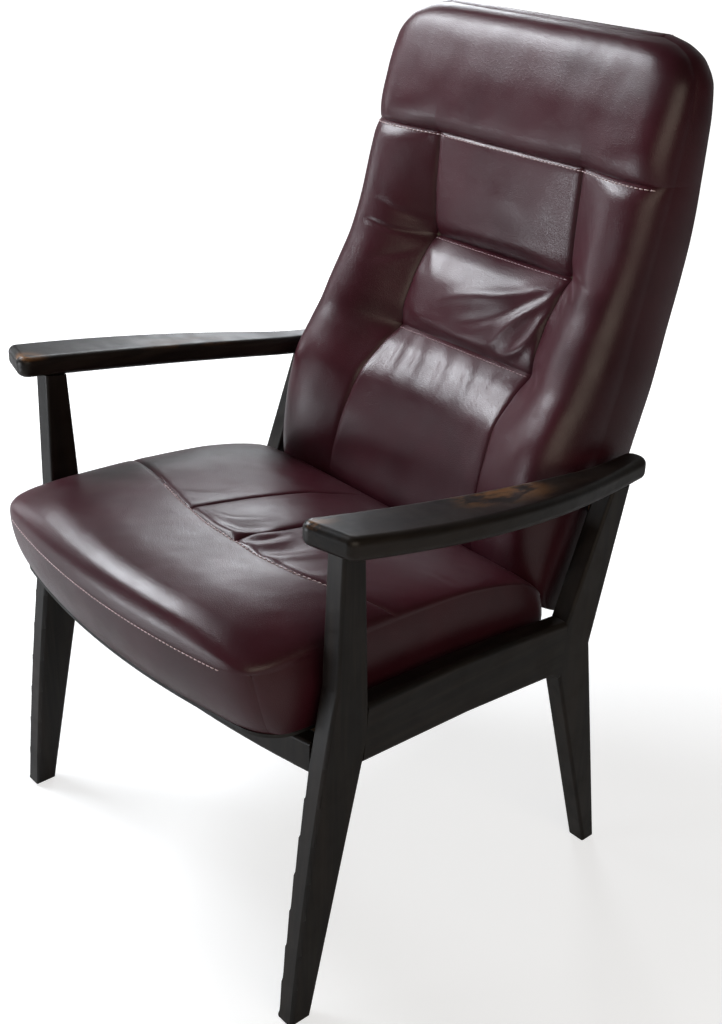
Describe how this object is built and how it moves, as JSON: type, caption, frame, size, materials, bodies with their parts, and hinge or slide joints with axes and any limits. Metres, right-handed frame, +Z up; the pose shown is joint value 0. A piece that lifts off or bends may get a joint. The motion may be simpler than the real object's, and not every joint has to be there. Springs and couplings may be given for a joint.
{
  "type": "recliner chair",
  "caption": "High-backed recliner armchair with a stained hardwood frame and leather upholstery, whose back tilts on pivots in the rear legs and draws the seat forward",
  "frame": {"origin": "on the floor, in the middle of the chair's outline", "axes": "+Z up, the sitter faces -Y, +X is the sitter's left"},
  "size_m": [0.6558, 0.6855, 0.9729],
  "materials": {
    "stained_wood": "black-brown stain, satin",
    "plain_wood": "planed, unfinished",
    "steel": "zinc plated",
    "nylon": "moulded, matt",
    "cork": "rubberised cork",
    "leather": "dark oxblood, satin",
    "webbing": "rubber webbing",
    "black_board": "black hardboard"
  },
  "bodies": {
    "frame": {"armrest_left": "stained_wood", "armrest_right": "stained_wood", "front_leg_left": "stained_wood", "front_leg_right": "stained_wood", "rear_leg_left": "stained_wood", "rear_leg_right": "stained_wood", "side_rail_left": "stained_wood", "side_rail_right": "stained_wood", "front_rail": "stained_wood", "rear_rail": "stained_wood", "corner_block_left": "plain_wood", "corner_block_right": "plain_wood", "frame_dowels": "plain_wood", "pivot_plate_left": "steel", "pivot_plate_right": "steel", "frame_screws": "steel", "foot_glides": "nylon", "slide_guide_left": "nylon", "slide_guide_right": "nylon", "friction_washer_left": "cork", "friction_washer_right": "cork"},
    "back": {"back_side_member_left": "plain_wood", "back_side_member_right": "plain_wood", "back_head_rail": "plain_wood", "back_foot_rail": "plain_wood", "back_hinge_leaf_left": "steel", "back_hinge_leaf_right": "steel", "hinge_pins": "steel", "back_screws": "steel", "pivot_bush_left": "nylon", "pivot_bush_right": "nylon", "back_cushion": "leather", "back_cover": "leather", "back_webbing": "webbing"},
    "seat": {"seat_side_member_left": "plain_wood", "seat_side_member_right": "plain_wood", "seat_front_member": "plain_wood", "seat_rear_member": "plain_wood", "seat_hinge_leaf_left": "steel", "seat_hinge_leaf_right": "steel", "slide_bracket_left": "steel", "slide_bracket_right": "steel", "slide_pins": "steel", "seat_screws": "steel", "slide_sleeves": "nylon", "seat_cushion": "leather", "seat_webbing": "webbing", "seat_base_board": "black_board"}
  },
  "joints": [
    {"name": "back_recline", "type": "hinge", "parent": "frame", "child": "back", "pos_m": [0, 0.1803, 0.478], "axis": [-1, 0, 0], "range_deg": [0, 18]},
    {"name": "seat_hinge", "type": "hinge", "parent": "back", "child": "seat", "pos_m": [0, 0.1563, 0.338], "axis": [-1, 0, 0], "range_deg": [-18, 0]}
  ],
  "couplings": [
    {"joint": "seat_hinge", "follows": "back_recline", "ratio": -1}
  ]
}
